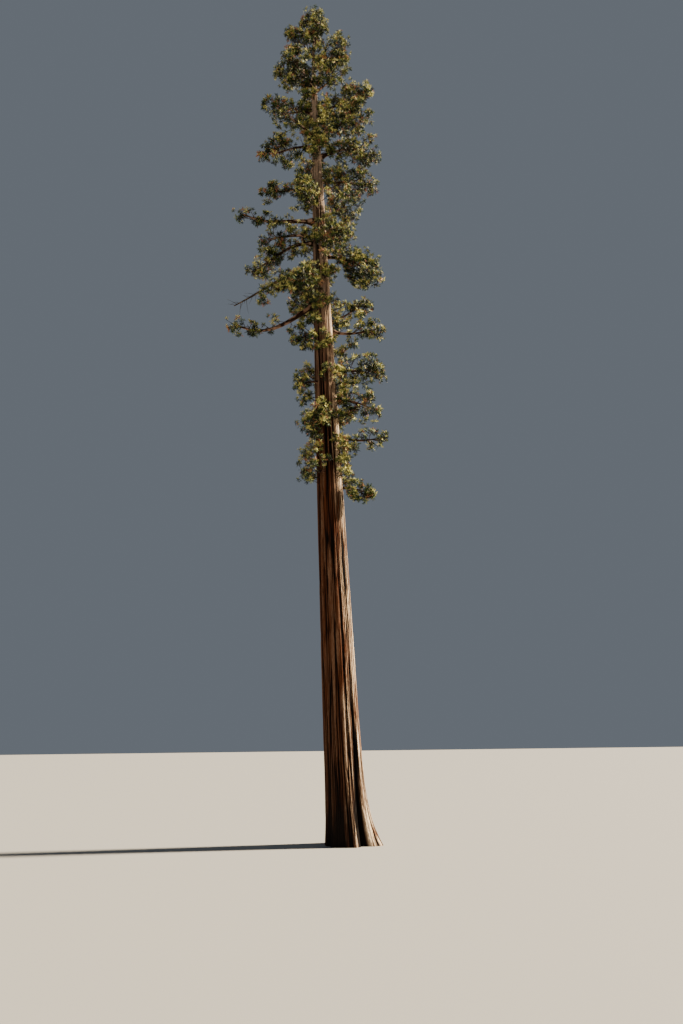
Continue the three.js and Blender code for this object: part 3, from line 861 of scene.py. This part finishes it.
def along_branchlets(buds, t):
    """Where each branchlet has got to at t, in shares of its size: on by t, and to its face by a sine."""
    arch = BRANCHLET_ARCH * np.sin(np.pi * t / BRANCHLET_REACH)
    line = buds.ahead[:, None] * t + buds.face[:, None] * arch
    return buds.root[:, None] + buds.size[:, None, None] * line


def shoots(buds):
    """Each shoot as a line of three points, and the number of the branchlet that bears it."""
    k = np.arange(SHOOTS)[None, :]
    shape = (len(buds.size), SHOOTS)
    start = FIRST_SHOOT + SHOOT_STRETCH * (k + random.uniform(0, 1, shape)) / SHOOTS
    roll = np.radians(k * GOLDEN_ANGLE) + random.uniform(0, 2 * np.pi, (shape[0], 1))
    lean = np.radians(SHOOT_LEAN * random.uniform(*LEAN_VARIETY, shape))[..., None]
    flat = 1 - (1 - buds.flatness[:, None]) * np.abs(np.sin(roll))
    long = SHOOT_LENGTH * flat * (SHOOT_BASE + SHOOT_GAIN * start) * random.uniform(*LENGTH_VARIETY, shape)
    long = (buds.size[:, None] * long)[..., None]
    ahead, face = buds.ahead[:, None], buds.face[:, None]
    way = turned(ahead, turned(np.cross(face, ahead), face, roll[..., None]), lean)
    foot = along_branchlets(buds, start[..., None])
    lines = np.stack([foot, foot + way * SHOOT_BEND * long, foot + (way + SHOOT_LIFT * UP) * long], 2)
    grown = random.uniform(0, 1, shape) < buds.size[:, None] / FULL_SIZE
    return lines[grown], np.nonzero(grown)[0]


# %% [markdown]
# ## Tufts
# Sequoia foliage is thin cords covered in tiny pointed scales. They fork again and again, and bunch into
# round tufts at the ends of the shoots. A tuft is built as a rosette of sprigs that stand round its centre,
# each leaning over like the scale of a cone, so that their faces look outwards and the tuft is dense from
# every side. A sprig has eight faces: two for its cord and one for each of six side cords, which point
# forwards as they do on the tree. It is larger than life, so that a tuft needs only about twenty.

# %% One sprig
CORD = [(0, 0, 0), (0.45, 0.055, 0), (1, 0, 0.08), (0.45, -0.055, 0)]  # along, across and up
CORD_TIP = 2
SIDE_CORDS, SIDE_BASE, SIDE_LONGEST, SIDE_SHORTENING = 6, 0.12, 0.46, 0.036
SIDE_FIRST, SIDE_SPACING = 0.08, 0.11  # where the side cords start along the cord
SIDE_AHEAD, SIDE_OUT = 0.8, 0.6  # of its length, how far a side cord runs forwards and sideways
BASE_LIFT, TIP_LIFT, LIFT_STEP = 0.01, 0.06, 0.02


def sprig():
    """Corners and triangles of a sprig one unit long: a kite for the cord, and a long triangle for each
    side cord. They leave it to the left and the right by turns, and grow shorter towards its tip."""
    corners, faces = list(CORD), [(0, 3, 2), (0, 2, 1)]
    for k in range(SIDE_CORDS):
        start, long = SIDE_FIRST + SIDE_SPACING * k, SIDE_LONGEST - SIDE_SHORTENING * k
        first, side = len(corners), 1 - 2 * (k % 2)
        tip = (start + SIDE_AHEAD * long, SIDE_OUT * long * side, TIP_LIFT + LIFT_STEP * k)
        corners += [(start, 0, 0), (start + SIDE_BASE, 0, BASE_LIFT), tip]
        faces.append((first, first + 1, first + 2) if side > 0 else (first, first + 2, first + 1))
    return np.array(corners), np.array(faces)


SPRIG, SPRIG_FACES = sprig()

# %% Rosettes of sprigs
TUFT_RADIUS = 0.096
TUFT_SPRIGS = 19
SPRIG_LEAN = (15, 60)
SPRIG_LENGTH = (1.3, 2.3)  # in radii of its tuft
SPRIG_STRAY = 0.14
SPRIG_ROOT, SPRIG_OVERLAP = 0.2, 0.25  # how far out of the centre it starts, and how far back it is drawn
HINDMOST = -0.6  # cosine of the direction back towards the shoot, where no sprig grows


def rosettes(centres, axes, sizes):
    """Points (tuft, sprig, corner) of every sprig, and its outward direction. The directions wind from the
    tuft's tip to its back by the golden angle, evenly over the ball."""
    count = len(centres)
    k = np.arange(TUFT_SPRIGS)
    cosine = 1 - (1 - HINDMOST) * (k + 0.5) / TUFT_SPRIGS
    turn = np.radians(k * GOLDEN_ANGLE)[None] + random.uniform(0, 2 * np.pi, (count, 1))
    sine = np.sqrt(1 - cosine**2)[None]
    side, over = frames(axes)
    level = turned(side[:, None], over[:, None], turn[..., None])
    out = axes[:, None] * cosine[None, :, None] + level * sine[..., None]
    out = unit(out + random.normal(0, SPRIG_STRAY, out.shape))
    edge = square_to(out)
    lean = np.radians(random.uniform(*SPRIG_LEAN, (count, TUFT_SPRIGS, 1)))
    ahead, face = turned(out, edge, lean), out * np.sin(lean) - edge * np.cos(lean)
    size = sizes[:, None, None] * random.uniform(*SPRIG_LENGTH, (count, TUFT_SPRIGS, 1))
    root = centres[:, None] + out * sizes[:, None, None] * SPRIG_ROOT - edge * size * SPRIG_OVERLAP
    axes = np.stack([ahead, np.cross(face, ahead), face], -2)
    return root[..., None, :] + size[..., None] * (SPRIG @ axes), out


# %% [markdown]
# ## Greens dealt out sprig by sprig
# Leaves differ in tint with age: the young outer growth is yellow green, the inner growth is deep green,
# and a little has turned rusty. The inner growth is also painted darker, as painted shade deep in the
# crown.
# A pattern would be lost on so many small faces, so each sprig is dealt one of a few plain colours: painted
# lighter on the tuft's upper side, as painted top light, and lighter in some tufts by chance.

# %% Foliage materials
GREENS = [
    ("deep green", "#0f1907"),
    ("leaf green", "#2f4516"),
    ("olive", "#636a30"),
    ("yellow green", "#b2ae68"),
    ("rusty", "#8a5d40"),
]


def foliage_material(tint, colour):
    """Scale leaves with a thin waxy skin: a soft, broad shine over a plain colour, and not a strong one,
    because the scales hide some of one another's."""
    waxy = {"Base Color": linear(colour), "Roughness": 0.6, "IOR": 1.42, "Specular IOR Level": 0.3}
    material, *_ = new_material(f"Sequoia foliage, waxy scale leaves, {tint}", waxy)
    return material


greens = [foliage_material(tint, colour) for tint, colour in GREENS]
TINT_STEPS = [-0.35, 0.2, 0.72]
TINT_STRAY, TUFT_STRAY = 0.35, 0.5  # how much a sprig's and a tuft's lightness vary by chance
# The edge growth is younger and lighter; the growth near the stem is also painted darker, as painted shade
# inside the crown.
OUTER_YOUTH = 1.4  # how much lighter the growth at a mass's edge is than at its stem
MIDDLE_AGE = 0.72  # the share of the mass's width where growth is neither lighter nor darker
RUSTY_TUFTS = 0.08
RUST_THERE, RUST_ELSEWHERE = 0.5, 0.04


def tints(out, kind):
    """The number of each sprig's colour, from its upward share, which paints the upper side lighter as
    painted top light, its tuft's kind and chance.
    """
    # Painted top light: a sprig that faces up is dealt a lighter green.
    light = out[..., 2] + kind[:, None] + random.normal(0, TINT_STRAY, out.shape[:2])
    dealt = np.digitize(light, TINT_STEPS)
    rust = np.where(random.uniform(0, 1, len(kind)) < RUSTY_TUFTS, RUST_THERE, RUST_ELSEWHERE)
    return np.where(random.uniform(0, 1, out.shape[:2]) < rust[:, None], len(GREENS) - 1, dealt)


# %% Foliage of one mass
# The share of its tufts that a mass lacks, where the photograph shows more sky through it
AIRY = {
    "left_03": 0.5, "left_04": 0.45, "left_05": 0.2, "left_06": 0.3, "left_07": 0.5, "left_08": 0.55,
    "left_09": 0.35, "left_10": 0.55, "left_11": 0.25, "right_02": 0.3, "right_06": 0.2, "right_07": 0.35,
    "right_09": 0.4, "right_10": 0.35, "right_11": 0.2, "right_12": 0.35, "right_13": 0.3, "front_01": 0.3,
    "front_03": 0.3, "back_01": 0.4, "back_03": 0.3,
}
TUFT_VARIETY = (0.65, 1.35)
PROUD = 1.06  # a sprig's tip may reach this share of its mass's width from the stem
BEYOND = 0.05  # metres that a sprig may stand out of the CAD model's box


def foliage(buds, mass=None):
    """Points, triangles and tint of the sprigs on those branchlets, and the finer twigs' lines. A tuft
    that would leave its mass's space or the model's box or would touch a limb is left out, and so are the
    mass's airy share of the rest, and each sprig that would leave that space or that box."""
    low, high = np.array(cad_box) + [[-BEYOND], [BEYOND]]
    stems = along_branchlets(buds, np.linspace(0, BRANCHLET_REACH, 5)[:, None])
    lines, bearer = shoots(buds)
    centres = np.concatenate([lines[:, -1], stems[:, -1]])
    axes = unit(np.concatenate([lines[:, -1] - lines[:, -2], stems[:, -1] - stems[:, -2]]))
    bound = np.concatenate([buds.bound[bearer], buds.bound])
    free = clear_of_limbs(centres) & (centres[:, 2] < TREE_HEIGHT)
    free &= ((centres > low) & (centres < high)).all(-1)
    if mass:
        free &= ~bound | room(mass, centres)
        free &= random.uniform(0, 1, len(free)) >= AIRY.get(mass.limb.name, 0)
    centres, axes, bound = centres[free], axes[free], bound[free]
    corners, out = rosettes(centres, axes, TUFT_RADIUS * random.uniform(*TUFT_VARIETY, len(centres)))
    nearest = shares(centres).min(-1)
    # Partly painted shade: tufts near the stem get darker greens, for older growth and for the shade deep
    # in the crown.
    age = OUTER_YOUTH * (np.minimum(nearest, 1) - MIDDLE_AGE)
    dealt = tints(out, age + random.normal(0, TUFT_STRAY, len(centres)))
    tips = corners[..., CORD_TIP, :]
    kept = ((corners > low) & (corners < high)).all((-2, -1))
    if mass:
        apart = np.linalg.norm(tips[:, :, None] - spines[mass.seed], axis=-1) / reaches[mass.seed]
        kept &= ~bound[:, None] | (apart.min(-1) < PROUD)
    points = corners[kept]
    number = np.arange(len(points))[:, None, None] * len(SPRIG)
    triangles = (number + SPRIG_FACES[None]).reshape(-1, 3)
    leafy = free[: len(lines)]
    bearing = np.isin(np.arange(len(stems)), bearer[leafy])
    dealt = np.repeat(dealt[kept], len(SPRIG_FACES))
    return points.reshape(-1, 3), triangles, dealt, stems[bearing], lines[leafy]


# %% Foliage pieces
TRUNK_SPROUTS = [(85, 14.0, 22.0), (80, 22.0, 33.0), (20, 33.0, 37.4)]  # how many, from and to what height
LIVE_SPROUTS = (10, 0.3, 0.8)  # how many on the dying limb, from and to what share of its length
FIRST_LOWER = {"left": 7, "right": 6}  # the number of each side's first mass in its lower half


def region(name):
    """The piece that a mass's leaves are joined into: its side, and on the two long sides its half."""
    side = name.split("_")[0]
    if side == "leader":
        return "foliage_left_upper"
    if side in ("front", "back"):
        return f"foliage_{side}"
    return f"foliage_{side}_" + ("upper" if int(name[-2:]) < FIRST_LOWER[side] else "lower")


leaves, fine_stems, fine_shoots = {}, [], []


def keep(name, grown_here, stands_for=None):
    """Puts leaves with the others of that piece, and their finer twigs with all the others."""
    leaves.setdefault(name, []).append((*grown_here[:3], stands_for))
    fine_stems.append(grown_here[3])
    fine_shoots.append(grown_here[4])


for mass, (_, sprays) in zip(masses, growth):
    buds = together(buds_on_blades(sprays), buds_on_limb(mass))
    keep(region(mass.limb.name), foliage(buds, mass), f"foliage_{mass.limb.name}")
keep("foliage_trunk", foliage(together(*(buds_on_trunk(*stretch) for stretch in TRUNK_SPROUTS))))
keep("foliage_left_lower", foliage(buds_on_bare_limb(DEAD_LIMB, *LIVE_SPROUTS)))
for name, parts in leaves.items():
    points, triangles, dealt = joined(parts)
    piece(name, points, triangles, greens, "foliage", [part[3] for part in parts if part[3]], dealt)

# %% [markdown]
# ## Limbs and twigs as meshes
# The limbs are joined into one piece with ridged bark. Twigs of every size are thin three-sided rods, made
# all at once: a line of points for each, with a triangle carried along it and drawn to a point.

# %% Boughs
FIRST_GRAIN = 100  # seed of the first limb's ridges; each limb uses two


def wooden(name, parts, material, slot, replaced):
    """One piece of several limbs or rods, with how deep in a furrow each point is."""
    points, triangles, furrow = joined(parts)
    piece(name, points, triangles, [material], slot, replaced, furrow=furrow)


# The third colour paints shade into the limbs' furrows; the twigs, at one depth all over, take it as most
# of their colour.
limb_bark = bark_material("Limb bark, thin and scaly", "#b3927e", "#66483a", "#20130c", "#9c8576")
tubes = [limb_tube(m.limb, m.end, FIRST_GRAIN + 2 * m.seed) for m in masses]
wooden("boughs", tubes, limb_bark, "bark", [f"bough_{limb.name}" for limb in boughs[:-1]])


# %% Twigs
TWIG_RADII, STEM_RADII = (0.024, 0.011), (0.02, 0.005)
SHOOT_RADII, DEAD_TWIG_RADII = (0.008, 0.003), (0.013, 0.003)
ROD_FURROW = 0.4  # one depth all over, so that a rod has one colour


def rods(lines, thick, thin):
    """Points and triangles of three-sided rods along lines (rod, point, xyz), from thick to thin."""
    count, length = lines.shape[:2]
    ahead = unit(np.gradient(lines, axis=1))
    side, over = frames(ahead)
    radius = np.linspace(thick, thin, length).reshape(1, length, 1)
    rings = [lines + radius * turned(side, over, angle) for angle in 2 * np.pi * np.arange(3) / 3]
    rings = np.stack(rings, 2).reshape(count, -1, 3)
    points = np.concatenate([rings, lines[:, :1], lines[:, -1:]], 1)
    triangles = tube_faces(length, 3)[:, ::-1][None] + np.arange(count)[:, None, None] * points.shape[1]
    return points.reshape(-1, 3), triangles.reshape(-1, 3), np.full(points.size // 3, ROD_FURROW)


straight = np.array([[foot, (foot + tip) / 2, tip] for twigs, _ in growth for foot, tip in twigs])
twigs = [
    rods(straight, *TWIG_RADII),
    rods(np.concatenate(fine_stems), *STEM_RADII),
    rods(np.concatenate(fine_shoots), *SHOOT_RADII),
]
wooden("twigs", twigs, limb_bark, "bark", [])

# %% [markdown]
# ## The dying limb
# One long limb on the left has lost most of its leaves. A few sprouts live on along its middle. Its bark
# has gone and the wood has weathered grey. Towards its tip only bare twigs are left. They fork off by
# chance and sag under their own weight.

# %% Dead limb
DEAD_TWIGS = 26
DEAD_SPAN = (0.45, 0.985)  # shares of the limb's length that bear them
DEAD_LENGTH = (0.25, 0.55)
DEAD_AHEAD, DEAD_RISE, DEAD_CURL, DEAD_SAG = 0.9, 0.15, 0.16, 0.14
DEAD_LIMB_END, DEAD_GRAIN = 0.995, 301


def dead_twigs(limb, count):
    """Bare twigs as lines of five points: they leave the outer part of the limb to all sides, and curl."""
    u = np.linspace(*DEAD_SPAN, count)
    along = unit(slope(limb, u))
    way = unit(along * DEAD_AHEAD + square_to(along) + DEAD_RISE * UP)
    long = random.uniform(*DEAD_LENGTH, count)[:, None, None]
    t = np.linspace(0, 1, 5)[None, :, None]
    curl = random.normal(0, DEAD_CURL, along.shape)[:, None] - DEAD_SAG * UP
    return limb_point(limb, u)[:, None] + long * (way[:, None] * t + curl * t**2)


# The third colour paints shade into the dead limb's furrows.
dead_wood = bark_material("Dead wood, weathered grey", "#94897d", "#6c6055", "#362d26", "#7a6e63")
bare = rods(dead_twigs(DEAD_LIMB, DEAD_TWIGS), *DEAD_TWIG_RADII)
wood = [limb_tube(DEAD_LIMB, DEAD_LIMB_END, DEAD_GRAIN), bare]
wooden("dead_limb_wood", wood, dead_wood, "dead_wood", ["dead_limb"])
